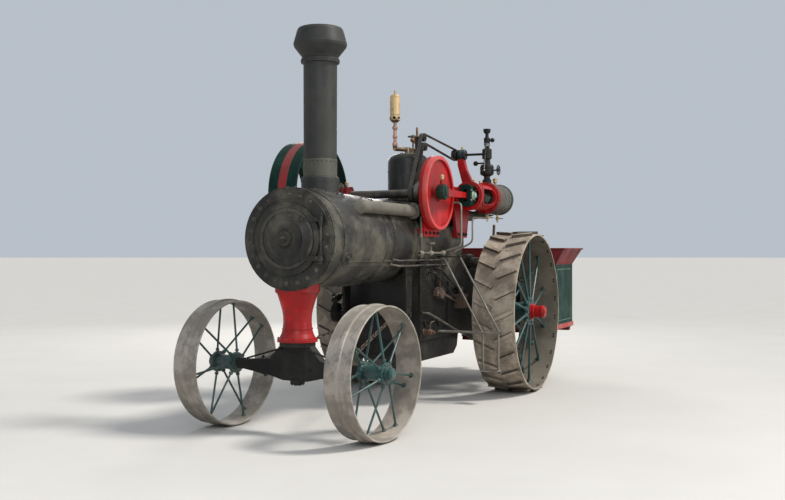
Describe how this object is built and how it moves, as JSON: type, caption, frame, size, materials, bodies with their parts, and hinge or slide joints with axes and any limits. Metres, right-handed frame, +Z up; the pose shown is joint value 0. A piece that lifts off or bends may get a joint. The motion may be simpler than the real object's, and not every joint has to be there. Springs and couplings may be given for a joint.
{
  "type": "steam traction engine",
  "caption": "Steam traction engine: boiler on steel wheels with a side crank engine, flywheel, geared rear drive, chain steering, platform and fuel bunker.",
  "frame": {"origin": "on the ground, under the middle of the machine's length and width", "axes": "+X forward, +Y to the engine's left, +Z up"},
  "size_m": [5.692, 2.41, 3.4407],
  "materials": {
    "boiler_black": "sooty, satin, scuffed paint",
    "stack_black": "flat heat-proof black",
    "red_paint": "worn gloss enamel",
    "green_paint": "worn gloss enamel",
    "tyre_steel": "dusty bare steel",
    "gear_iron": "greasy cast iron",
    "bright_steel": "oiled steel",
    "brass": "tarnished brass",
    "pipe_iron": "weathered pipe",
    "deck_plank": "trodden plank",
    "belt_leather": "oily belting",
    "lagging": "planished lagging"
  },
  "bodies": {
    "engine": {"boiler": "boiler_black", "smokebox": "boiler_black", "door_hinge": "boiler_black", "stack": "stack_black", "steam_dome": "boiler_black", "whistle": "brass", "safety_valve": "brass", "dome_valve": "brass", "ash_pan": "boiler_black", "grate": "boiler_black", "exhaust_pipe": "pipe_iron", "side_pipes": "pipe_iron", "feed_pump": "pipe_iron", "front_pedestal": "red_paint", "rear_axle": "boiler_black", "side_plates": "boiler_black", "gear_stud": "boiler_black", "crank_bearing_right": "red_paint", "engine_frame": "red_paint", "steam_cylinder": "lagging", "valve_gear": "bright_steel", "governor": "boiler_black", "governor_belt": "belt_leather", "belt_idlers": "boiler_black", "steering_roller": "boiler_black", "steering_shaft": "bright_steel", "steering_chain_left": "gear_iron", "steering_chain_right": "gear_iron", "water_tank": "green_paint", "deck": "deck_plank", "bunker": "green_paint", "bunker_flare": "red_paint", "frame_beams": "red_paint", "side_step": "boiler_black", "levers": "boiler_black"},
    "smoke_door": {"smokebox_door": "boiler_black"},
    "fire_door": {"fire_door": "boiler_black"},
    "axle": {"front_axle": "boiler_black"},
    "front_wheel_left": {"front_rim_left": "tyre_steel", "front_spokes_left": "green_paint"},
    "front_wheel_right": {"front_rim_right": "tyre_steel", "front_spokes_right": "green_paint"},
    "rear_wheel_left": {"rear_rim_left": "tyre_steel", "rear_spokes_left": "green_paint", "hub_cap_left": "red_paint", "bull_gear_left": "gear_iron"},
    "rear_wheel_right": {"rear_rim_right": "tyre_steel", "rear_spokes_right": "green_paint", "hub_cap_right": "red_paint", "bull_gear_right": "gear_iron"},
    "counter": {"countershaft": "gear_iron", "main_gear": "gear_iron"},
    "idle": {"intermediate_gear": "gear_iron"},
    "crank": {"crankshaft": "bright_steel", "crank_disc": "red_paint", "flywheel": "green_paint"},
    "crosshead": {"crosshead": "green_paint"},
    "rod": {"connecting_rod": "red_paint"}
  },
  "joints": [
    {"name": "steering", "type": "hinge", "parent": "engine", "child": "axle", "pos_m": [2.20795, 0, 0.548], "axis": [0, 0, 1], "range_deg": [-23.5, 36.5], "deforming": ["steering_chain_left", "steering_chain_right"]},
    {"name": "front_wheel_left_turn", "type": "hinge", "parent": "axle", "child": "front_wheel_left", "pos_m": [2.29399, 0.75511, 0.548], "axis": [0.1132, 0.9936, 0], "continuous": true},
    {"name": "front_wheel_right_turn", "type": "hinge", "parent": "axle", "child": "front_wheel_right", "pos_m": [2.12192, -0.75511, 0.548], "axis": [0.1132, 0.9936, 0], "continuous": true},
    {"name": "crank_turn", "type": "hinge", "parent": "engine", "child": "crank", "pos_m": [0.39795, 0, 2.075], "axis": [0, 1, 0], "continuous": true},
    {"name": "idle_turn", "type": "hinge", "parent": "engine", "child": "idle", "pos_m": [0.06967, -0.58, 1.74145], "axis": [0, 1, 0], "continuous": true},
    {"name": "counter_turn", "type": "hinge", "parent": "engine", "child": "counter", "pos_m": [-0.71059, 0, 1.39925], "axis": [0, 1, 0], "continuous": true},
    {"name": "rear_wheel_left_turn", "type": "hinge", "parent": "engine", "child": "rear_wheel_left", "pos_m": [-0.96205, 0.9, 0.86], "axis": [0, 1, 0], "continuous": true},
    {"name": "rear_wheel_right_turn", "type": "hinge", "parent": "engine", "child": "rear_wheel_right", "pos_m": [-0.96205, -0.9, 0.86], "axis": [0, 1, 0], "continuous": true},
    {"name": "smoke_door_swing", "type": "hinge", "parent": "engine", "child": "smoke_door", "pos_m": [2.38795, 0.318, 1.61], "axis": [0, 0, 1], "range_deg": [0, 135]},
    {"name": "fire_door_swing", "type": "hinge", "parent": "engine", "child": "fire_door", "pos_m": [-0.65605, 0.19, 1.66], "axis": [0, 0, 1], "range_deg": [-110, 0]},
    {"name": "crosshead_slide", "type": "slide", "parent": "engine", "child": "crosshead", "axis": [1, 0, 0], "range_m": [-0.28, 0]},
    {"name": "rod_swing", "type": "hinge", "parent": "crosshead", "child": "rod", "pos_m": [-0.16205, 0.62, 2.075], "axis": [0, 1, 0], "range_deg": [-11.5, 11.5]}
  ],
  "couplings": [
    {"joint": "idle_turn", "follows": "crank_turn", "ratio": -0.34483},
    {"joint": "counter_turn", "follows": "crank_turn", "ratio": 0.2381},
    {"joint": "rear_wheel_left_turn", "follows": "crank_turn", "ratio": -0.05102},
    {"joint": "rear_wheel_right_turn", "follows": "crank_turn", "ratio": -0.05102}
  ]
}
